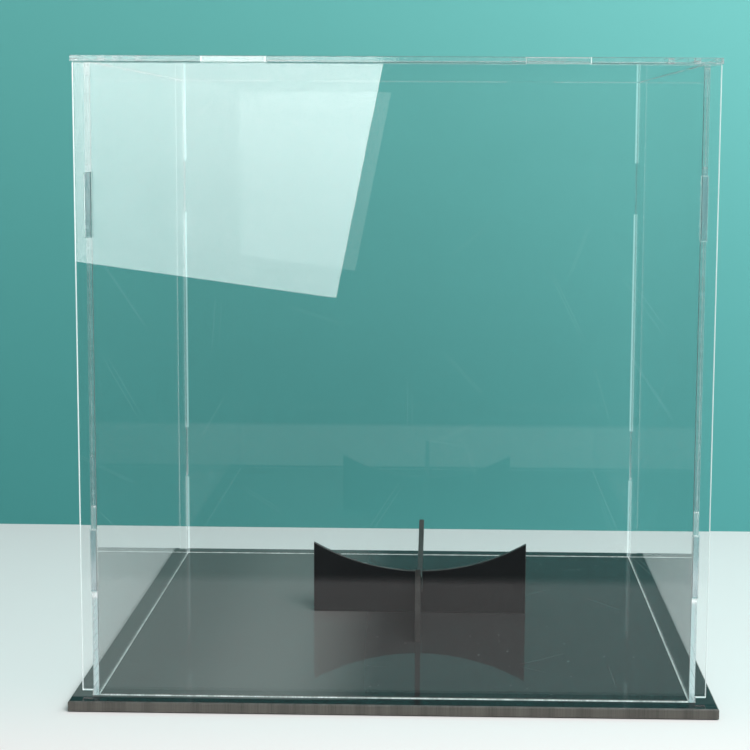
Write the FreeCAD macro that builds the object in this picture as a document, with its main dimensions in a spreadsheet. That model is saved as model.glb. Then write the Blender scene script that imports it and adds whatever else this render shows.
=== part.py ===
import FreeCAD, Part
import os
import Sketcher

# Display case: a clear five-panel cover that lifts off a grooved black base,
# and a loose stand of two crossed plates with hollow tops for a round exhibit.
# Frame: origin at the middle of the base's underside, +Z up, front panel towards -Y.

# Driving dimensions in millimetres: alias, value, meaning
SIZES = (
    ("cover_side", 290.0, "outside of the cover's walls, face to face"),
    ("wall_rise", 302.0, "base's top face to the underside of the top panel"),
    ("sheet", 3.0, "thickness of the clear panels"),
    ("lip", 5.0, "front, back and top panels past the walls' outer faces"),
    ("tab_length", 30.0, "length of every tab along its edge"),
    ("side_tab_pitch", 170.0, "between the two tabs of an upright edge"),
    ("top_tab_pitch", 150.0, "between the two tabs of a top edge"),
    ("fit_gap", 0.1, "clearance around a tab and in the half-lap, each side"),
    ("base_margin", 10.0, "base past the walls' outer faces"),
    ("base_thick", 5.0, "thickness of the base"),
    ("base_bevel", 0.5, "bevel around the base's top face"),
    ("groove_depth", 2.0, "groove that takes the walls' lower edges"),
    ("groove_gap", 0.2, "clearance between groove and wall, each side"),
    ("wing_lift", 2.0, "lips of the front and back panels above the base"),
    ("stand_span", 120.0, "length of a stand plate"),
    ("stand_sheet", 3.0, "thickness of a stand plate"),
    ("seat_height", 24.0, "lowest point of the hollow seat above the base"),
    ("seat_radius", 121.0, "radius of the hollow seat"),
    ("stand_right", 10.0, "stand's middle right of the base's middle"),
    ("stand_back", 9.0, "stand's middle behind the base's middle"),
)

# Places worked out from the driving dimensions, from the middle of the base or up from its top face
WALL = "Sizes.cover_side / 2"
WALL_INSIDE = "(Sizes.cover_side / 2 - Sizes.sheet)"
WALL_MIDDLE = "(Sizes.cover_side / 2 - Sizes.sheet / 2)"
LIP_EDGE = "(Sizes.cover_side / 2 + Sizes.lip)"
BASE_EDGE = "(Sizes.cover_side / 2 + Sizes.base_margin)"
WALL_FOOT = "-Sizes.groove_depth"
WALL_TOP = "Sizes.wall_rise"
TAB_TOP = "(Sizes.wall_rise + Sizes.sheet)"
MID_HEIGHT = "Sizes.wall_rise / 2"
SEAT_CENTRE = "(Sizes.seat_height + Sizes.seat_radius)"
STAND_END = "Sizes.stand_span / 2"
STAND_TOP = f"({SEAT_CENTRE} - sqrt(Sizes.seat_radius ^ 2 - ({STAND_END}) ^ 2))"
LAP_HALF = "(Sizes.stand_sheet / 2 + Sizes.fit_gap)"
LAP_HEIGHT = "Sizes.seat_height / 2"

SAME_HEIGHT = 1e-6  # millimetres within which two heights count as one

doc = FreeCAD.newDocument("display_case")


def add_size_sheet():
    """Spreadsheet with one named cell for each driving dimension."""
    sheet = doc.addObject("Spreadsheet::Sheet", "Sizes")
    for row, (alias, value, meaning) in enumerate(SIZES, start=1):
        sheet.set(f"A{row}", meaning)
        sheet.set(f"B{row}", str(value))
        sheet.setAlias(f"B{row}", alias)
    doc.recompute()


def new_body(label, place):
    """Empty body, placed by one expression for each axis that it moves along."""
    body = doc.addObject("PartDesign::Body", label)
    body.Label = label
    for axis, expression in place.items():
        body.setExpression(f"Placement.Base.{axis}", expression)
    return body


def new_sketch(body, name, role, rise=None):
    """Sketch on one of the body's own origin planes, raised along its normal by an expression."""
    sketch = body.newObject("Sketcher::SketchObject", f"{body.Name}_{name}")
    plane = next(item for item in body.Origin.OriginFeatures if item.Role == role)
    sketch.AttachmentSupport = (plane, [""])
    sketch.MapMode = "FlatFace"
    if rise:
        sketch.setExpression("AttachmentOffset.Base.z", rise)
    return sketch


def add_outline(sketch, corners):
    """Closed outline of level and upright lines through corners, each a pair of expressions."""
    points = [FreeCAD.Vector(sketch.evalExpression(x), sketch.evalExpression(y), 0) for x, y in corners]
    count = len(corners)
    first = sketch.GeometryCount
    for i, point in enumerate(points):
        sketch.addGeometry(Part.LineSegment(point, points[(i + 1) % count]))
    for i in range(count):
        sketch.addConstraint(Sketcher.Constraint("Coincident", first + i, 2, first + (i + 1) % count, 1))
    for i, (x, y) in enumerate(corners):
        upright = x == corners[(i + 1) % count][0]
        direction, distance = ("Vertical", "DistanceX") if upright else ("Horizontal", "DistanceY")
        expression, value = (x, points[i].x) if upright else (y, points[i].y)
        sketch.addConstraint(Sketcher.Constraint(direction, first + i))
        number = sketch.addConstraint(Sketcher.Constraint(distance, first + i, 1, value))
        sketch.setExpression(f"Constraints[{number}]", expression)


def add_circle(sketch, height, radius):
    """Circle centred on the sketch's upright axis."""
    middle = FreeCAD.Vector(0, sketch.evalExpression(height), 0)
    circle = sketch.addGeometry(Part.Circle(middle, FreeCAD.Vector(0, 0, 1), sketch.evalExpression(radius)))
    sketch.addConstraint(Sketcher.Constraint("PointOnObject", circle, 3, -2))
    for kind, place, expression in (("DistanceY", (circle, 3), height), ("Radius", (circle,), radius)):
        number = sketch.addConstraint(Sketcher.Constraint(kind, *place, sketch.evalExpression(expression)))
        sketch.setExpression(f"Constraints[{number}]", expression)


def rectangle(x, y, half_width, half_height):
    """Corners of a rectangle about a middle point."""
    left, right = f"{x} - {half_width}", f"{x} + {half_width}"
    low, high = f"{y} - {half_height}", f"{y} + {half_height}"
    return [(left, low), (right, low), (right, high), (left, high)]


def tab_corners(edge, tip, middle, pitch, sense, upright):
    """Corners of an edge's two tabs in drawing order; sense is the way that the edge is drawn."""
    corners = []
    for side in (-sense, sense):
        centre = f"{middle} + {side} * Sizes.{pitch} / 2"
        start = f"{centre} - {sense} * Sizes.tab_length / 2"
        end = f"{centre} + {sense} * Sizes.tab_length / 2"
        corners += [(start, edge), (start, tip), (end, tip), (end, edge)]
    return [(across, along) for along, across in corners] if upright else corners


def pad(body, sketch, thickness):
    """Sheet of the sketched outline, thickened along the sketch's normal."""
    feature = body.newObject("PartDesign::Pad", f"{body.Name}_sheet")
    feature.Profile = sketch
    feature.setExpression("Length", thickness)
    doc.recompute()
    return feature


def cut(body, name, sketch, depth=None):
    """Cut of the sketched outline: right through the sheet along the normal, or to a depth against it."""
    before = body.Shape.Volume
    feature = body.newObject("PartDesign::Pocket", f"{body.Name}_{name}")
    feature.Profile = sketch
    if depth:
        feature.setExpression("Length", depth)
    else:
        feature.Type = "ThroughAll"
        feature.Reversed = True
    doc.recompute()
    if not body.Shape.Volume < before:
        raise RuntimeError(f"{feature.Name} removed nothing")


def cut_slots(body, role, places):
    """Closed slots for tabs; each place is a middle point and whether the slot stands upright."""
    sketch = new_sketch(body, "slots_outline", role)
    half_width = "(Sizes.sheet / 2 + Sizes.fit_gap)"
    half_length = "(Sizes.tab_length / 2 + Sizes.fit_gap)"
    for x, y, upright in places:
        halves = (half_width, half_length) if upright else (half_length, half_width)
        add_outline(sketch, rectangle(x, y, *halves))
    cut(body, "slots", sketch)


def make_base_plate():
    """Square plate with a bevelled top and a square groove for the cover's walls."""
    body = new_body("base_plate", {})
    outline = new_sketch(body, "outline", "XY_Plane")
    add_outline(outline, rectangle("0", "0", BASE_EDGE, BASE_EDGE))
    plate = pad(body, outline, "Sizes.base_thick")
    top = plate.Shape.BoundBox.ZMax
    rim = [
        f"Edge{number}"
        for number, edge in enumerate(plate.Shape.Edges, start=1)
        if all(abs(vertex.Z - top) < SAME_HEIGHT for vertex in edge.Vertexes)
    ]
    bevel = body.newObject("PartDesign::Chamfer", "base_plate_bevel")
    bevel.Base = (plate, rim)
    bevel.setExpression("Size", "Sizes.base_bevel")
    doc.recompute()
    groove = new_sketch(body, "groove_outline", "XY_Plane", rise="Sizes.base_thick")
    for half in (f"({WALL} + Sizes.groove_gap)", f"({WALL_INSIDE} - Sizes.groove_gap)"):
        add_outline(groove, rectangle("0", "0", half, half))
    cut(body, "groove", groove, depth="Sizes.groove_depth")
    return body


def make_end_panel(label, rear_face):
    """Front or back panel: foot in the groove, lips past the side walls, tabs on top, slots at the sides."""
    body = new_body(label, {"y": rear_face, "z": "Sizes.base_thick"})
    outline = new_sketch(body, "outline", "XZ_Plane")
    corners = [(f"-{WALL}", WALL_FOOT), (WALL, WALL_FOOT), (WALL, "Sizes.wing_lift")]
    corners += [(LIP_EDGE, "Sizes.wing_lift"), (LIP_EDGE, WALL_TOP)]
    corners += tab_corners(WALL_TOP, TAB_TOP, "0", "top_tab_pitch", -1, upright=False)
    corners += [(f"-{LIP_EDGE}", WALL_TOP), (f"-{LIP_EDGE}", "Sizes.wing_lift")]
    corners += [(f"-{WALL}", "Sizes.wing_lift")]
    add_outline(outline, corners)
    pad(body, outline, "Sizes.sheet")
    heights = [f"({MID_HEIGHT} + {side} * Sizes.side_tab_pitch / 2)" for side in (-1, 1)]
    cut_slots(body, "XZ_Plane", [(f"{side} * {WALL_MIDDLE}", z, True) for side in (-1, 1) for z in heights])
    return body


def make_side_panel(label, left_face):
    """Left or right panel: stands between the end panels, with tabs to the front, the back and the top."""
    body = new_body(label, {"x": left_face, "z": "Sizes.base_thick"})
    outline = new_sketch(body, "outline", "YZ_Plane")
    corners = [(f"-{WALL_INSIDE}", WALL_FOOT), (WALL_INSIDE, WALL_FOOT)]
    corners += tab_corners(WALL_INSIDE, WALL, MID_HEIGHT, "side_tab_pitch", 1, upright=True)
    corners += [(WALL_INSIDE, WALL_TOP)]
    corners += tab_corners(WALL_TOP, TAB_TOP, "0", "top_tab_pitch", -1, upright=False)
    corners += [(f"-{WALL_INSIDE}", WALL_TOP)]
    corners += tab_corners(f"-{WALL_INSIDE}", f"-{WALL}", MID_HEIGHT, "side_tab_pitch", -1, upright=True)
    add_outline(outline, corners)
    pad(body, outline, "Sizes.sheet")
    return body


def make_top_panel():
    """Square lid panel, lipped all round, with two slots over each wall."""
    body = new_body("top_panel", {"z": f"Sizes.base_thick + {WALL_TOP}"})
    outline = new_sketch(body, "outline", "XY_Plane")
    add_outline(outline, rectangle("0", "0", LIP_EDGE, LIP_EDGE))
    pad(body, outline, "Sizes.sheet")
    places = []
    for side in (-1, 1):
        wall = f"{side} * {WALL_MIDDLE}"
        for end in (-1, 1):
            along = f"{end} * Sizes.top_tab_pitch / 2"
            places += [(along, wall, False), (wall, along, True)]
    cut_slots(body, "XY_Plane", places)
    return body


def make_stand_plate(label, role, place, slot_from_above):
    """Plate with a hollow seat on top and half of the crossing's lap joint."""
    body = new_body(label, {**place, "z": "Sizes.base_thick"})
    blank = new_sketch(body, "outline", role)
    add_outline(blank, rectangle("0", f"{STAND_TOP} / 2", STAND_END, f"{STAND_TOP} / 2"))
    pad(body, blank, "Sizes.stand_sheet")
    seat = new_sketch(body, "seat_outline", role)
    add_circle(seat, SEAT_CENTRE, "Sizes.seat_radius")
    cut(body, "seat", seat)
    lap = new_sketch(body, "lap_outline", role)
    low, high = (f"{LAP_HEIGHT} - Sizes.fit_gap", STAND_TOP) if slot_from_above else ("0", LAP_HEIGHT)
    add_outline(lap, [(f"-{LAP_HALF}", low), (LAP_HALF, low), (LAP_HALF, high), (f"-{LAP_HALF}", high)])
    cut(body, "lap", lap)
    return body


def make_stand():
    """The two plates, crossed at the stand's middle."""
    across = {"x": "Sizes.stand_right", "y": "Sizes.stand_back + Sizes.stand_sheet / 2"}
    along = {"x": "Sizes.stand_right - Sizes.stand_sheet / 2", "y": "Sizes.stand_back"}
    return [
        make_stand_plate("stand_plate_across", "XZ_Plane", across, slot_from_above=True),
        make_stand_plate("stand_plate_front_to_back", "YZ_Plane", along, slot_from_above=False),
    ]


def check(parts):
    """Stops before anything is written if a feature failed or a solid is not sound."""
    for item in doc.Objects:
        if "Invalid" in item.State or "Error" in item.State:
            raise RuntimeError(f"{item.Label} failed: {item.State}")
        if item.TypeId == "Sketcher::SketchObject" and not item.FullyConstrained:
            raise RuntimeError(f"{item.Label} is not fully constrained")
    for part in parts:
        if part.Shape.isNull() or not part.Shape.isValid() or len(part.Shape.Solids) != 1:
            raise RuntimeError(f"{part.Label} is not one sound solid")


add_size_sheet()
case_parts = [
    make_base_plate(),
    make_end_panel("front_panel", f"-{WALL} + Sizes.sheet"),
    make_end_panel("back_panel", WALL),
    make_side_panel("left_panel", f"-{WALL}"),
    make_side_panel("right_panel", f"{WALL} - Sizes.sheet"),
    make_top_panel(),
    *make_stand(),
]
doc.recompute()
check(case_parts)
os.makedirs("parts", exist_ok=True)
for part in case_parts:
    part.Shape.exportStep(f"parts/{part.Label}.step")
    box = part.Shape.BoundBox
    extent = f"{box.XLength:.1f} x {box.YLength:.1f} x {box.ZLength:.1f} mm"
    print(f"{part.Label}: {part.Shape.Volume:.0f} mm3, {extent}")
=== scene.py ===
import math

import bmesh
import bpy
from mathutils import Matrix, Vector


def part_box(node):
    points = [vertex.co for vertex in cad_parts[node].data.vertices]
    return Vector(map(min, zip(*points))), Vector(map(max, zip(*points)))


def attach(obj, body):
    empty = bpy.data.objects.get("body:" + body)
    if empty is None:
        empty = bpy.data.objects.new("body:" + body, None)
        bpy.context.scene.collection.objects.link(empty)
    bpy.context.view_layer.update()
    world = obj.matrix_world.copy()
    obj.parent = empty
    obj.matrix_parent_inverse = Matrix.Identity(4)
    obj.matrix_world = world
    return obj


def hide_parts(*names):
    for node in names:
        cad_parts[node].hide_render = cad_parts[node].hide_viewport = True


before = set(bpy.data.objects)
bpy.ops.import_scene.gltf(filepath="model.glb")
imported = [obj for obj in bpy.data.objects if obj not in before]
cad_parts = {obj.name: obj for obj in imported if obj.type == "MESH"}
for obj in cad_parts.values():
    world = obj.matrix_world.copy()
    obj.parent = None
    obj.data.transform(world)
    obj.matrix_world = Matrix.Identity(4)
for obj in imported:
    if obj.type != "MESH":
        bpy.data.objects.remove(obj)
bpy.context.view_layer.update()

# Camera: metres, radians, and millimetres for lens and sensor
CAMERA_PLACE = (0.02596, -0.95162, 0.27545)
CAMERA_TURN = 0.02197
CAMERA_DIP = 0.11816
CAMERA_ROLL = 0.00551
CAMERA_LENS = 83.16
CAMERA_SENSOR = 36
CAMERA_SHIFT = -0.0493

# Sheets of the stage, in metres
FLOOR_REACH = 20
FLOOR_LEVEL = -0.0004
BACKDROP_PLACE = 0.24
BACKDROP_REACH = 1.4
BACKDROP_TOP = 1.2
SOFTBOX_PLACE = -2.2
SOFTBOX_CORNERS = ((-1.710, 0.207), (-0.1635, 0.0015), (-0.0753, 0.442), (-1.622, 0.647))
SOFTBOX_SLOPE = 0.1327

# Fades of the stage, each from a place where it is absent to one where it is full, in metres
FLOOR_FORE = (-0.10, -0.26)
FLOOR_DIMMER = (0.45, 1.1)
FLOOR_EVEN = (0.9, 2.6)
MIRROR_BEFORE = (-0.14, -0.16)
MIRROR_FORE = (-0.35, -0.40)
MIRROR_FAR = (0.7, 0.9)
BACKDROP_RISE = (-0.05, 0.55)
BACKDROP_ASIDE = (-0.35, 0.45)
SOFTBOX_RISE = (-0.02, 0.43)

# Share of painted darkness just before the case, in mirrored light only, and loss of the softbox past the
# first sheet's two faces
MIRROR_SHARE = 0.5
FIRST_SHEET = 2.5
LATER_LOSS = 0.82

# Lamps: place and aim in metres, power in watts, side of the square in metres
KEY_LAMP = ((0.8, -1.55, 1.85), (0, 0, 0.1), 51, 1.2)
BACKDROP_LAMP = ((1.1, -0.25, 1.15), (0.5, 0.24, 0.3), 4, 0.6)

# Surroundings as the eye sees them, and as the sheets mirror them
PALE_ROOM = (0.80, 0.83, 0.825, 1)
DARK_ROOM = (0.05, 0.06, 0.06, 1)
AMBIENT = (0.82, 0.825, 0.825, 1)
AMBIENT_STRENGTH = 0.40

# Bounces, enough for light that crosses every clear face of the case
ALL_BOUNCES = 32
CLEAR_BOUNCES = 24

# Finish of the cut sheets, in metres and radians
EASE = 0.00004
BEVEL = 0.00022
WELD = 0.000002
FLAT_TURN = math.radians(0.5)
SHARP_TURN = math.radians(20)
SMOOTH_TURN = math.radians(12)
SAW_DEPTH = 0.0002

# Sorting of faces: parts of a face's normal, then reaches in metres
SQUARE_ON = 0.95
BEVEL_RISE = 0.2
NEAR = 0.001
CLOSE = 0.0005
BELOW_LID = 0.01
FRONT_TABS_REACH = 0.12
GROOVE_MARGIN = 0.008
GROOVE_TOP = 0.0003

# Painted glowing line where a side wall butts on the back panel, broken at the wall's tabs, in metres
BUTT_GLOW_WIDTH = 0.0011
TAB_OFFSET = 0.085
TAB_HALF = 0.0155

# Places worked out from the frame
WALL_LOW, WALL_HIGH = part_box("right_panel")
FRONT_LOW, FRONT_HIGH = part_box("front_panel")
BASE_LOW, BASE_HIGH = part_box("base_plate")
LID_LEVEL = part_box("top_panel")[0].z
TABS_MIDDLE = (BASE_HIGH.z + LID_LEVEL) / 2

# Clear and black acrylic
ACRYLIC_IOR = 1.49
BLACK_SHINE = 0.11
FOOT_GLOW = (0.075, 0.055)

# Pale film on the base, partly dust and partly painted light that is strongest on the left: thickness, then
# places in metres where it fades in
BASE_DUST_AND_LIGHT = 0.9
LEAST_FILM = 0.11
EDGE_LOSS = 0.30
PAINTED_LIGHT_LEFT = (0.005, -0.06)
PAINTED_LIGHT_EDGE = (-0.07, -0.12)
FILM_START = (-0.149, -0.146)
FACING_UP = (0.5, 0.9)

# Hairlines: cells to a metre, share of cells left out, then half width and half length fading in, in metres
SCRATCH_CELLS = 24.0
SCRATCH_FEW = 0.55
SCRATCH_WIDTH = (0.00022, 0.00005)
SCRATCH_LENGTH = (0.024, 0.012)
SCRATCH_ON_BLACK = 0.35

# Dust specks: cells to a metre, share of cells left out, and radius fading in, in cells
SPECK_CELLS = 260.0
SPECK_FEW = 0.93
SPECK_SIZE = (0.16, 0.06)
SPECK_ON_BLACK = 0.5

# Wiped smears: turn in radians, patches to a metre, and noise fading in
SMEAR_TURN = (0.4, 0.3, 0.8)
SMEAR_PATCHES = (6.0, 26.0, 9.0)
SMEAR_FADE = (0.42, 0.72)

# Saw marks: fine lines and broad patches to a metre, and their noise fading in
SAW_LINES = 1400.0
SAW_PATCHES = 160.0
LINES_FADE = (0.35, 0.65)
PATCHES_FADE = (0.38, 0.64)


# Small helpers for node trees

def add_node(tree, kind, inputs=None, **settings):
    """Add one node, set its choices, and give each input a value or a link."""
    made = tree.nodes.new(kind)
    for name, value in settings.items():
        setattr(made, name, value)
    for name, value in (inputs or {}).items():
        if isinstance(value, bpy.types.NodeSocket):
            tree.links.new(value, made.inputs[name])
        else:
            made.inputs[name].default_value = value
    return made


def math_node(tree, operation, first, second=0.0):
    """Add a maths node and give back its answer."""
    made = add_node(tree, "ShaderNodeMath", {0: first, 1: second}, operation=operation)
    return made.outputs[0]


def multiply(tree, first, second):
    """Product of two values."""
    return math_node(tree, "MULTIPLY", first, second)


def largest(tree, first, second):
    """The larger of two values."""
    return math_node(tree, "MAXIMUM", first, second)


def vector_node(tree, operation, first, second=(0.0, 0.0, 0.0)):
    """Add a vector maths node."""
    return add_node(tree, "ShaderNodeVectorMath", {0: first, 1: second}, operation=operation)


def band(tree, value, low, high):
    """Rise smoothly from 0 at low to 1 at high."""
    made = add_node(tree, "ShaderNodeMapRange", {"Value": value, "From Min": low, "From Max": high},
                    interpolation_type="SMOOTHSTEP")
    return made.outputs["Result"]


def mix_colours(tree, amount, first, second):
    """Blend two colours."""
    made = add_node(tree, "ShaderNodeMix", {0: amount, 6: first, 7: second}, data_type="RGBA")
    return made.outputs[2]


def mix_surfaces(tree, amount, first, second):
    """Blend two surfaces or backgrounds."""
    return add_node(tree, "ShaderNodeMixShader", {0: amount, 1: first.outputs[0], 2: second.outputs[0]})


def parts_of(tree, vector):
    """Split a vector into its X, Y and Z."""
    return add_node(tree, "ShaderNodeSeparateXYZ", {0: vector}).outputs


def place_on_object(tree):
    """Place on a piece, in metres of the frame that all pieces share."""
    return tree.nodes.new("ShaderNodeTexCoord").outputs["Object"]


def light_path(tree):
    """What kind of light is being followed."""
    return tree.nodes.new("ShaderNodeLightPath").outputs


def new_group(name, inputs, outputs):
    """Start a shared node group with the named inputs and outputs."""
    group = bpy.data.node_groups.new(name, "ShaderNodeTree")
    for label, kind in inputs:
        group.interface.new_socket(label, in_out="INPUT", socket_type=kind)
    for label, kind in outputs:
        group.interface.new_socket(label, in_out="OUTPUT", socket_type=kind)
    return group, group.nodes.new("NodeGroupInput"), group.nodes.new("NodeGroupOutput")


def use_group(tree, group, **inputs):
    """Add a shared group to a material's tree and give back its outputs."""
    made = tree.nodes.new("ShaderNodeGroup")
    made.node_tree = group
    for name, value in inputs.items():
        tree.links.new(value, made.inputs[name])
    return made.outputs


# Shared surface effects

def make_scratches():
    """Short straight hairlines: thin slabs through the middles of picked cells, each turned its own way."""
    group, given, result = new_group("hairline_scratches", [("Vector", "NodeSocketVector")],
                                     [("Mask", "NodeSocketFloat")])
    place = given.outputs["Vector"]
    cells = add_node(group, "ShaderNodeTexVoronoi", {"Vector": place, "Scale": SCRATCH_CELLS}).outputs
    offset = vector_node(group, "SUBTRACT", place, cells["Position"]).outputs[0]
    turn = vector_node(group, "SUBTRACT", cells["Color"], (0.5, 0.5, 0.5)).outputs[0]
    across = vector_node(group, "NORMALIZE", turn).outputs[0]
    beside = vector_node(group, "DOT_PRODUCT", offset, across).outputs["Value"]
    away = vector_node(group, "LENGTH", offset).outputs["Value"]
    line = band(group, math_node(group, "ABSOLUTE", beside), *SCRATCH_WIDTH)
    ends = band(group, away, *SCRATCH_LENGTH)
    picked = add_node(group, "ShaderNodeSeparateColor", {"Color": cells["Color"]}).outputs[0]
    few = math_node(group, "GREATER_THAN", picked, SCRATCH_FEW)
    short = multiply(group, multiply(group, line, ends), few)
    group.links.new(short, result.inputs["Mask"])
    return group


def make_dust():
    """Fine dust specks and soft wiped smears."""
    group, given, result = new_group("dust_and_smears", [("Vector", "NodeSocketVector")],
                                     [("Specks", "NodeSocketFloat"), ("Smears", "NodeSocketFloat")])
    place = given.outputs["Vector"]
    cells = add_node(group, "ShaderNodeTexVoronoi", {"Vector": place, "Scale": SPECK_CELLS}).outputs
    picked = add_node(group, "ShaderNodeSeparateColor", {"Color": cells["Color"]}).outputs[0]
    few = math_node(group, "GREATER_THAN", picked, SPECK_FEW)
    dot = band(group, cells["Distance"], *SPECK_SIZE)
    group.links.new(multiply(group, few, dot), result.inputs["Specks"])
    wiped = add_node(group, "ShaderNodeMapping", {
        "Vector": place, "Rotation": SMEAR_TURN, "Scale": SMEAR_PATCHES}).outputs[0]
    smear = add_node(group, "ShaderNodeTexNoise", {
        "Vector": wiped, "Scale": 1.0, "Detail": 4.0, "Roughness": 0.6}).outputs["Fac"]
    group.links.new(band(group, smear, *SMEAR_FADE), result.inputs["Smears"])
    return group


def make_cut_marks():
    """Fine lines left across a sheet's cut edge; Across is the place with the thickness left out."""
    group, given, result = new_group("cut_marks", [("Across", "NodeSocketVector")],
                                     [("Height", "NodeSocketFloat"), ("Tone", "NodeSocketFloat")])
    across = given.outputs["Across"]
    fine = add_node(group, "ShaderNodeTexNoise", {
        "Vector": across, "Scale": SAW_LINES, "Detail": 2.0, "Roughness": 0.7}).outputs["Fac"]
    broad = add_node(group, "ShaderNodeTexNoise", {
        "Vector": across, "Scale": SAW_PATCHES, "Detail": 2.0}).outputs["Fac"]
    lines = multiply(group, band(group, fine, *LINES_FADE), 0.5)
    patches = multiply(group, band(group, broad, *PATCHES_FADE), 0.5)
    group.links.new(fine, result.inputs["Height"])
    group.links.new(math_node(group, "ADD", lines, patches), result.inputs["Tone"])
    return group


SCRATCHES = make_scratches()
DUST = make_dust()
CUT_MARKS = make_cut_marks()


def saw_marks(tree, kept):
    """Cut marks by the place on the object; kept says how much of X, Y and Z counts."""
    across = vector_node(tree, "MULTIPLY", place_on_object(tree), kept).outputs[0]
    return use_group(tree, CUT_MARKS, Across=across)


def saw_bump(tree, marks, strength):
    """Fine ridges of the cut marks."""
    made = add_node(tree, "ShaderNodeBump", {
        "Height": marks["Height"], "Strength": strength, "Distance": SAW_DEPTH})
    return made.outputs[0]


def all_but(axis):
    """Keep every axis but the sheet's thickness."""
    return [0.0 if part == axis else 1.0 for part in range(3)]


# Materials of the case

def new_material(name):
    """Start a material with an empty tree and its output node."""
    material = bpy.data.materials.new(name)
    material.use_nodes = True
    material.node_tree.nodes.clear()
    material.cycles.emission_sampling = "NONE"
    return material, material.node_tree, material.node_tree.nodes.new("ShaderNodeOutputMaterial")


def show(tree, output, surface):
    """Link the finished surface to the output."""
    tree.links.new(surface.outputs[0], output.inputs["Surface"])


def let_light_through(tree, output, surface, tint):
    """Let soft and lamp light pass straight through a clear sheet, as a thin pane does."""
    path = light_path(tree)
    clear = add_node(tree, "ShaderNodeBsdfTransparent", {"Color": tint})
    soft = mix_surfaces(tree, path["Is Diffuse Ray"], surface, clear)
    show(tree, output, mix_surfaces(tree, path["Is Shadow Ray"], soft, clear))


def painted_butt_glow(tree, place):
    """Mask of the painted glowing line where a side wall's cut edge butts on a sheet, broken at the tabs."""
    spot = parts_of(tree, place)
    inward = math_node(tree, "SUBTRACT", WALL_LOW.x, math_node(tree, "ABSOLUTE", spot["X"]))
    beside = multiply(tree, math_node(tree, "LESS_THAN", inward, BUTT_GLOW_WIDTH),
                      math_node(tree, "GREATER_THAN", inward, EASE))
    from_middle = math_node(tree, "ABSOLUTE", math_node(tree, "SUBTRACT", spot["Z"], TABS_MIDDLE))
    from_tab = math_node(tree, "ABSOLUTE", math_node(tree, "SUBTRACT", from_middle, TAB_OFFSET))
    return multiply(tree, beside, band(tree, from_tab, TAB_HALF, TAB_HALF + NEAR))


def make_clear_sheet(name, butted=False):
    """Polished clear acrylic with faint smears and hairlines that carry a faint painted highlight, and a
    painted glowing line where walls butt on it.
    """
    material, tree, output = new_material(name)
    place = place_on_object(tree)
    smears = use_group(tree, DUST, Vector=place)["Smears"]
    scratches = use_group(tree, SCRATCHES, Vector=place)["Mask"]
    tint = mix_colours(tree, smears, (0.988, 0.996, 0.995, 1), (0.968, 0.980, 0.978, 1))
    # Painted highlight: the hairlines glow faintly by emission.
    painted_glow = mix_colours(tree, scratches, (0, 0, 0, 1), (0.030, 0.034, 0.034, 1))
    # Painted highlight: a pale line glowing by emission where the side walls butt on the back panel.
    if butted:
        painted_glow = mix_colours(tree, painted_butt_glow(tree, place), painted_glow, (0.24, 0.29, 0.29, 1))
    sheet = add_node(tree, "ShaderNodeBsdfPrincipled", {
        "Base Color": tint, "Roughness": 0.0, "IOR": ACRYLIC_IOR, "Transmission Weight": 1.0,
        "Emission Color": painted_glow, "Emission Strength": 1.0})
    let_light_through(tree, output, sheet, (0.994, 0.997, 0.997, 1))
    return material


def make_clear_cut(name, thickness_axis):
    """Cut edge of a clear sheet: nearly clear, pale mint, finely lined, with a faint painted glow along its
    cut marks and a stronger painted glow at its foot.
    """
    material, tree, output = new_material(name)
    marks = saw_marks(tree, all_but(thickness_axis))
    tone = marks["Tone"]
    colour = mix_colours(tree, tone, (0.91, 0.965, 0.96, 1), (0.985, 1.0, 0.997, 1))
    foot = band(tree, parts_of(tree, place_on_object(tree))["Z"], *FOOT_GLOW)
    # Painted light: emission stands in for light piped in from the floor, faint along the cut marks and
    # stronger at the foot.
    glow = mix_colours(tree, tone, (0.0, 0.0, 0.0, 1), (0.02, 0.03, 0.03, 1))
    glow = mix_colours(tree, foot, glow, (0.13, 0.12, 0.125, 1))
    rough = math_node(tree, "ADD", multiply(tree, tone, 0.03), 0.02)
    edge = add_node(tree, "ShaderNodeBsdfPrincipled", {
        "Base Color": colour, "Roughness": rough, "IOR": ACRYLIC_IOR, "Transmission Weight": 0.98,
        "Normal": saw_bump(tree, marks, 0.03), "Emission Color": glow, "Emission Strength": 1.0})
    let_light_through(tree, output, edge, (0.95, 0.97, 0.97, 1))
    return material


def make_clear_arris():
    """Corner line of a clear sheet, left half frosted by the cutter and given a painted glow, so that it
    shows as a pale line.
    """
    material, tree, output = new_material("clear_arris")
    smears = use_group(tree, DUST, Vector=place_on_object(tree))["Smears"]
    colour = mix_colours(tree, smears, (0.85, 0.92, 0.91, 1), (0.68, 0.79, 0.78, 1))
    # Painted highlight: the emission makes the corner line glow pale.
    line = add_node(tree, "ShaderNodeBsdfPrincipled", {
        "Base Color": colour, "Roughness": 0.35, "IOR": ACRYLIC_IOR, "Transmission Weight": 0.3,
        "Emission Color": (0.15, 0.18, 0.175, 1), "Emission Strength": 1.0})
    let_light_through(tree, output, line, (0.90, 0.95, 0.95, 1))
    return material


def make_clear_soft_arris():
    """Corner line of a clear sheet that is nearly as clear as the sheet."""
    material, tree, output = new_material("clear_soft_arris")
    smears = use_group(tree, DUST, Vector=place_on_object(tree))["Smears"]
    colour = mix_colours(tree, smears, (0.95, 1.0, 0.99, 1), (0.86, 0.94, 0.93, 1))
    line = add_node(tree, "ShaderNodeBsdfPrincipled", {
        "Base Color": colour, "Roughness": 0.25, "IOR": ACRYLIC_IOR, "Transmission Weight": 0.86})
    let_light_through(tree, output, line, (0.95, 0.97, 0.97, 1))
    return material


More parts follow.
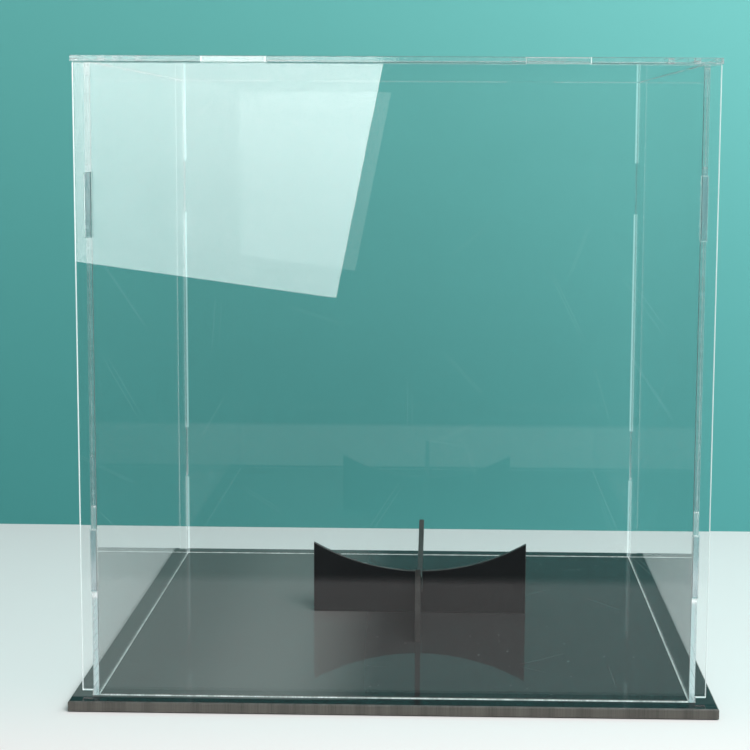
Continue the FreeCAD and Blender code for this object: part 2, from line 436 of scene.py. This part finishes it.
def make_clear_tab_end():
    """End of a tab that shows in its slot: sawn, left dull, and blue grey."""
    material, tree, output = new_material("clear_tab_end")
    marks = saw_marks(tree, (1.0, 0.0, 0.02))
    colour = mix_colours(tree, marks["Tone"], (0.40, 0.50, 0.54, 1), (0.72, 0.80, 0.83, 1))
    end = add_node(tree, "ShaderNodeBsdfPrincipled", {
        "Base Color": colour, "Roughness": 0.25, "IOR": ACRYLIC_IOR, "Transmission Weight": 0.92})
    let_light_through(tree, output, end, (0.92, 0.95, 0.95, 1))
    return material


def dust_and_painted_light_film(tree, place, film):
    """Thickness of the pale film, thin dust everywhere with painted light added: most on the left, less at
    the very edge, none before the front panel.
    """
    spot = parts_of(tree, place)
    left = band(tree, spot["X"], *PAINTED_LIGHT_LEFT)
    edge = multiply(tree, band(tree, spot["X"], *PAINTED_LIGHT_EDGE), EDGE_LOSS)
    thick = largest(tree, math_node(tree, "SUBTRACT", left, edge), LEAST_FILM)
    return multiply(tree, multiply(tree, thick, band(tree, spot["Y"], *FILM_START)), film)


def make_black_sheet(name, film):
    """Polished black acrylic with smears, hairlines, upward dust and a pale film of dust with painted light;
    film is the pale film's thickness.
    """
    material, tree, output = new_material(name)
    place = place_on_object(tree)
    dust = use_group(tree, DUST, Vector=place)
    scratches = use_group(tree, SCRATCHES, Vector=place)["Mask"]
    facing = parts_of(tree, tree.nodes.new("ShaderNodeNewGeometry").outputs["Normal"])
    upward = band(tree, facing["Z"], *FACING_UP)
    dust_and_painted_light = multiply(tree, dust_and_painted_light_film(tree, place, film), upward)
    specks = multiply(tree, multiply(tree, dust["Specks"], upward), SPECK_ON_BLACK)
    colour = mix_colours(tree, dust["Smears"], (0.010, 0.011, 0.012, 1), (0.015, 0.017, 0.018, 1))
    # Painted light: the pale film is a thin even dust with a painted pool of light, strongest on the left.
    colour = mix_colours(tree, dust_and_painted_light, colour, (0.17, 0.17, 0.165, 1))
    colour = mix_colours(tree, multiply(tree, scratches, SCRATCH_ON_BLACK), colour, (0.16, 0.17, 0.17, 1))
    colour = mix_colours(tree, specks, colour, (0.35, 0.36, 0.36, 1))
    rough = math_node(tree, "ADD", multiply(tree, dust["Smears"], 0.03), 0.035)
    sheet = add_node(tree, "ShaderNodeBsdfPrincipled", {
        "Base Color": colour, "Roughness": rough, "IOR": ACRYLIC_IOR, "Specular IOR Level": BLACK_SHINE})
    show(tree, output, sheet)
    return material


def make_black_cut(name, thickness_axis, darker, lighter):
    """Sawn edge of a black sheet: brown grey and dull, with lines across its thickness."""
    material, tree, output = new_material(name)
    marks = saw_marks(tree, all_but(thickness_axis))
    colour = mix_colours(tree, marks["Tone"], darker, lighter)
    edge = add_node(tree, "ShaderNodeBsdfPrincipled", {
        "Base Color": colour, "Roughness": 0.42, "IOR": ACRYLIC_IOR, "Normal": saw_bump(tree, marks, 0.2)})
    show(tree, output, edge)
    return material


def make_groove():
    """Engraved groove in the black base: pale, rough and unevenly cut."""
    material, tree, output = new_material("engraved_groove")
    marks = saw_marks(tree, (1.0, 1.0, 0.0))
    colour = mix_colours(tree, marks["Tone"], (0.42, 0.46, 0.45, 1), (0.93, 0.98, 0.97, 1))
    cut = add_node(tree, "ShaderNodeBsdfPrincipled", {
        "Base Color": colour, "Roughness": 0.6, "Normal": saw_bump(tree, marks, 0.3)})
    show(tree, output, cut)
    return material


# Finished pieces

def finished_form(node):
    """Copy a node's mesh: welded, eased by a hair, its sharp edges broken."""
    low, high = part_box(node)
    middle = (low + high) / 2
    shrink = Vector([1 - 2 * EASE / (top - bottom) for bottom, top in zip(low, high)])
    form = bmesh.new()
    form.from_mesh(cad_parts[node].data)
    bmesh.ops.remove_doubles(form, verts=form.verts, dist=WELD)
    bmesh.ops.dissolve_limit(form, angle_limit=FLAT_TURN, verts=form.verts, edges=form.edges)
    for corner in form.verts:
        corner.co = middle + (corner.co - middle) * shrink
    sharp = [edge for edge in form.edges if edge.calc_face_angle(0.0) > SHARP_TURN]
    bmesh.ops.bevel(form, geom=sharp, offset=BEVEL, segments=1, profile=0.5, affect="EDGES",
                    clamp_overlap=True)
    bmesh.ops.triangulate(form, faces=[face for face in form.faces if len(face.verts) > 4])
    form.normal_update()
    return form


def finished_piece(node, name, looks, face_kind):
    """Make a finished copy of a node, each face with the look that its kind has."""
    form = finished_form(node)
    kinds = [face_kind(face.calc_center_median(), face.normal) for face in form.faces]
    used = [kind for kind in looks if kind in kinds]
    for face, kind in zip(form.faces, kinds):
        face.material_index = used.index(kind)
        face.smooth = True
    mesh = bpy.data.meshes.new(name)
    form.to_mesh(mesh)
    form.free()
    mesh.set_sharp_from_angle(angle=SMOOTH_TURN)
    for kind in used:
        mesh.materials.append(looks[kind])
    piece = bpy.data.objects.new(name, mesh)
    bpy.context.scene.collection.objects.link(piece)
    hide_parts(node)
    return piece


def within(value, low, high):
    """Whether a place lies in a sheet's thickness or a hair beside it."""
    return low - NEAR < value < high + NEAR


def corner_line(node, axis, place):
    """Kind of a clear sheet's corner line: bright on free edges and round the front's top tabs, or soft."""
    in_slot = within(abs(place.x), WALL_LOW.x, WALL_HIGH.x) and place.z < LID_LEVEL - BELOW_LID
    over_front = within(place.y, FRONT_LOW.y, FRONT_HIGH.y) and abs(place.x) < FRONT_TABS_REACH
    if node == "back_panel" and in_slot:
        return "cut"
    if node == "front_panel" and place.z > LID_LEVEL + CLOSE:
        return "bright_line"
    if node == "top_panel" and over_front:
        return "bright_line"
    soft = axis == 0 or in_slot or place.z > LID_LEVEL - NEAR
    return "soft_line" if soft else "bright_line"


def clear_faces(node, axis):
    """Sort a clear sheet's faces into broad and butted faces, cut edges, corner lines and tab ends."""
    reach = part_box(node)[1].y

    def kind(place, facing):
        if node == "back_panel" and facing.y < -SQUARE_ON and place.y < WALL_HIGH.y:
            return "butted"
        if max(abs(part) for part in facing) < SQUARE_ON:
            return corner_line(node, axis, place)
        if axis == 0 and abs(facing.y) > SQUARE_ON and abs(place.y) > reach - CLOSE:
            return "tab_end"
        return "broad" if abs(facing[axis]) > SQUARE_ON else "cut"
    return kind


def stand_faces(axis):
    """Sort a stand plate's faces into broad faces and cut edges."""
    def kind(place, facing):
        return "broad" if abs(facing[axis]) > SQUARE_ON else "cut"
    return kind


def base_faces(place, facing):
    """Sort the base's faces into broad faces, outer cut edges, corner lines and engraved groove."""
    inside = max(abs(place.x), abs(place.y)) < BASE_HIGH.x - GROOVE_MARGIN
    if inside and BASE_LOW.z + NEAR < place.z < BASE_HIGH.z - GROOVE_TOP:
        return "groove"
    if abs(facing.z) > SQUARE_ON:
        return "broad"
    return "corner_line" if facing.z > BEVEL_RISE else "cut"


def build_cover():
    """Make the five clear panels, which ride on the cover."""
    looks = {"broad": make_clear_sheet("clear_sheet"),
             "butted": make_clear_sheet("clear_butted_sheet_painted_glow", butted=True),
             "bright_line": make_clear_arris(),
             "soft_line": make_clear_soft_arris(),
             "tab_end": make_clear_tab_end()}
    cuts = [make_clear_cut("clear_cut_edge_" + label, axis) for axis, label in enumerate("xyz")]
    for node, axis in (("front_panel", 1), ("back_panel", 1), ("left_panel", 0), ("right_panel", 0),
                       ("top_panel", 2)):
        piece = finished_piece(node, "clear_" + node, looks | {"cut": cuts[axis]}, clear_faces(node, axis))
        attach(piece, "cover")


def build_stand():
    """Make the two crossed plates, which ride on the stand."""
    sheet = make_black_sheet("black_stand_sheet", 0.0)
    darker = (0.020, 0.021, 0.020, 1)
    lighter = (0.042, 0.042, 0.039, 1)
    cuts = [make_black_cut("stand_cut_edge_" + label, axis, darker, lighter)
            for axis, label in enumerate("xy")]
    for node, axis in (("stand_plate_across", 1), ("stand_plate_front_to_back", 0)):
        looks = {"broad": sheet, "cut": cuts[axis]}
        piece = finished_piece(node, "black_" + node, looks, stand_faces(axis))
        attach(piece, "stand")


def build_base():
    """Make the black base plate."""
    cut = make_black_cut("base_cut_edge", 2, (0.056, 0.054, 0.047, 1), (0.118, 0.114, 0.099, 1))
    corner = make_black_cut("base_arris", 2, (0.040, 0.040, 0.036, 1), (0.105, 0.105, 0.095, 1))
    looks = {"broad": make_black_sheet("black_base_sheet", BASE_DUST_AND_LIGHT),
             "cut": cut,
             "corner_line": corner,
             "groove": make_groove()}
    piece = finished_piece("base_plate", "black_base_plate", looks, base_faces)
    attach(piece, "base")


# Materials of the stage

def mirrored_light(tree, path):
    """1 for light that a sheet mirrors towards the eye, 0 for the light that falls on things."""
    looked = largest(tree, path["Is Glossy Ray"], path["Is Transmission Ray"])
    return multiply(tree, looked, math_node(tree, "MINIMUM", path["Glossy Depth"], 1.0))


def make_floor():
    """Pale floor, paler in front of the case as painted light and darker further out, evenly pale far out;
    in mirrored light half dark just before the case and dark far out, a painted dark reflection, so that the
    sheets stay clear.
    """
    material, tree, output = new_material("stage_floor")
    place = place_on_object(tree)
    path = light_path(tree)
    reach = vector_node(tree, "LENGTH", place).outputs["Value"]
    forward = parts_of(tree, place)["Y"]
    # Painted light: the floor is paler in front of the case; further out it turns darker.
    fore = band(tree, forward, *FLOOR_FORE)
    pale = mix_colours(tree, fore, (0.78, 0.805, 0.80, 1), (0.93, 0.84, 0.835, 1))
    pale = mix_colours(tree, band(tree, reach, *FLOOR_DIMMER), pale, (0.60, 0.60, 0.60, 1))
    near = add_node(tree, "ShaderNodeBsdfDiffuse", {"Color": pale})
    far = add_node(tree, "ShaderNodeEmission", {"Color": PALE_ROOM})
    dark = add_node(tree, "ShaderNodeEmission", {"Color": DARK_ROOM})
    seen = math_node(tree, "SUBTRACT", 1.0, path["Is Diffuse Ray"])
    outward = multiply(tree, band(tree, reach, *FLOOR_EVEN), seen)
    # Painted reflection: in mirrored light the floor is half dark just before the case and dark beyond.
    before = multiply(tree, band(tree, forward, *MIRROR_BEFORE), MIRROR_SHARE)
    beyond = largest(tree, band(tree, forward, *MIRROR_FORE), band(tree, reach, *MIRROR_FAR))
    mirrored = multiply(tree, largest(tree, before, beyond), mirrored_light(tree, path))
    plain = mix_surfaces(tree, outward, near, far)
    show(tree, output, mix_surfaces(tree, mirrored, plain, dark))
    return material


def make_backdrop():
    """Muted teal sheet behind the case, with painted light that makes it paler towards the top and the
    right, seen from its front only, which throws no shadow.
    """
    material, tree, output = new_material("stage_backdrop")
    place = parts_of(tree, place_on_object(tree))
    # Painted light: the teal is paler towards the top and towards the right.
    rise = band(tree, place["Z"], *BACKDROP_RISE)
    aside = band(tree, place["X"], *BACKDROP_ASIDE)
    low = mix_colours(tree, aside, (0.067, 0.275, 0.266, 1), (0.102, 0.380, 0.372, 1))
    high = mix_colours(tree, aside, (0.128, 0.435, 0.408, 1), (0.212, 0.620, 0.585, 1))
    cloth = add_node(tree, "ShaderNodeBsdfDiffuse", {"Color": mix_colours(tree, rise, low, high)})
    gone = add_node(tree, "ShaderNodeBsdfTransparent")
    behind = tree.nodes.new("ShaderNodeNewGeometry").outputs["Backfacing"]
    absent = largest(tree, behind, light_path(tree)["Is Shadow Ray"])
    show(tree, output, mix_surfaces(tree, absent, cloth, gone))
    return material


def make_softbox():
    """Bright softbox that only shows mirrored in the sheets, weaker from the sheets further back."""
    material, tree, output = new_material("stage_softbox")
    place = parts_of(tree, place_on_object(tree))
    path = light_path(tree)
    above = math_node(tree, "ADD", place["Z"], multiply(tree, place["X"], SOFTBOX_SLOPE))
    rise = band(tree, above, *SOFTBOX_RISE)
    colour = mix_colours(tree, rise, (4.9, 5.0, 4.95, 1), (7.0, 6.8, 6.7, 1))
    once = math_node(tree, "COMPARE", path["Glossy Depth"], 1.0)
    deeper = math_node(tree, "GREATER_THAN", path["Transmission Depth"], FIRST_SHEET)
    weaker = math_node(tree, "SUBTRACT", 1.0, multiply(tree, deeper, LATER_LOSS))
    shown = multiply(tree, multiply(tree, once, mirrored_light(tree, path)), weaker)
    glow = add_node(tree, "ShaderNodeEmission", {"Color": colour})
    gone = add_node(tree, "ShaderNodeBsdfTransparent")
    show(tree, output, mix_surfaces(tree, shown, gone, glow))
    return material


# Stage: floor, backdrop, softbox, surroundings, lamps and camera

def stage_sheet(name, corners, material):
    """Add one flat four-cornered sheet of the stage."""
    mesh = bpy.data.meshes.new(name)
    mesh.from_pydata(corners, [], [(0, 1, 2, 3)])
    mesh.materials.append(material)
    sheet = bpy.data.objects.new(name, mesh)
    bpy.context.scene.collection.objects.link(sheet)


def build_sheets():
    """Lay the floor and hang the backdrop and the softbox."""
    floor = [(x * FLOOR_REACH, y * FLOOR_REACH, FLOOR_LEVEL)
             for x, y in ((-1, -1), (1, -1), (1, 1), (-1, 1))]
    backdrop = [(side * BACKDROP_REACH, BACKDROP_PLACE, level)
                for level, sides in ((FLOOR_LEVEL, (-1, 1)), (BACKDROP_TOP, (1, -1))) for side in sides]
    softbox = [(x, SOFTBOX_PLACE, z) for x, z in SOFTBOX_CORNERS]
    stage_sheet("stage_floor", floor, make_floor())
    stage_sheet("stage_backdrop", backdrop, make_backdrop())
    stage_sheet("stage_softbox", softbox, make_softbox())


def build_surroundings():
    """Soft even light, pale to the eye and dark in mirrors."""
    world = bpy.data.worlds.new("stage_world")
    world.use_nodes = True
    tree = world.node_tree
    tree.nodes.clear()
    output = tree.nodes.new("ShaderNodeOutputWorld")
    path = light_path(tree)
    ambient = add_node(tree, "ShaderNodeBackground", {"Color": AMBIENT, "Strength": AMBIENT_STRENGTH})
    seen = add_node(tree, "ShaderNodeBackground", {"Color": PALE_ROOM, "Strength": 1.0})
    dark = add_node(tree, "ShaderNodeBackground", {"Color": DARK_ROOM, "Strength": 1.0})
    looked = largest(tree, path["Is Camera Ray"], path["Is Transmission Ray"])
    lit = mix_surfaces(tree, looked, ambient, seen)
    show(tree, output, mix_surfaces(tree, mirrored_light(tree, path), lit, dark))
    bpy.context.scene.world = world


def add_lamp(name, place, aim, power, side):
    """Add one square lamp looking at a point."""
    data = bpy.data.lights.new(name, "AREA")
    data.energy = power
    data.shape = "RECTANGLE"
    data.size = side
    data.size_y = side
    lamp = bpy.data.objects.new(name, data)
    towards = Vector(aim) - Vector(place)
    lamp.matrix_world = Matrix.Translation(place) @ towards.to_track_quat("-Z", "Y").to_matrix().to_4x4()
    lamp.visible_camera = False
    lamp.visible_transmission = False
    bpy.context.scene.collection.objects.link(lamp)


def add_camera():
    """Set the camera where the photo was taken from."""
    data = bpy.data.cameras.new("photo_camera")
    data.sensor_width = CAMERA_SENSOR
    data.lens = CAMERA_LENS
    data.shift_x = CAMERA_SHIFT
    data.shift_y = CAMERA_SHIFT
    camera = bpy.data.objects.new("photo_camera", data)
    turn = Matrix.Rotation(CAMERA_TURN, 4, "Z")
    dip = Matrix.Rotation(math.pi / 2 - CAMERA_DIP, 4, "X")
    roll = Matrix.Rotation(CAMERA_ROLL, 4, "Z")
    camera.matrix_world = Matrix.Translation(CAMERA_PLACE) @ turn @ dip @ roll
    bpy.context.scene.collection.objects.link(camera)
    bpy.context.scene.camera = camera


def set_light_rules():
    """Plain colours, an even sampling pattern, and enough bounces for many clear faces."""
    scene = bpy.context.scene
    scene.view_settings.view_transform = "Standard"
    scene.cycles.sampling_pattern = "TABULATED_SOBOL"
    scene.cycles.max_bounces = ALL_BOUNCES
    scene.cycles.glossy_bounces = CLEAR_BOUNCES
    scene.cycles.transmission_bounces = CLEAR_BOUNCES
    scene.cycles.transparent_max_bounces = ALL_BOUNCES


build_cover()
build_stand()
build_base()
build_sheets()
build_surroundings()
add_lamp("stage_key", *KEY_LAMP)
add_lamp("stage_backdrop_lamp", *BACKDROP_LAMP)
add_camera()
set_light_rules()
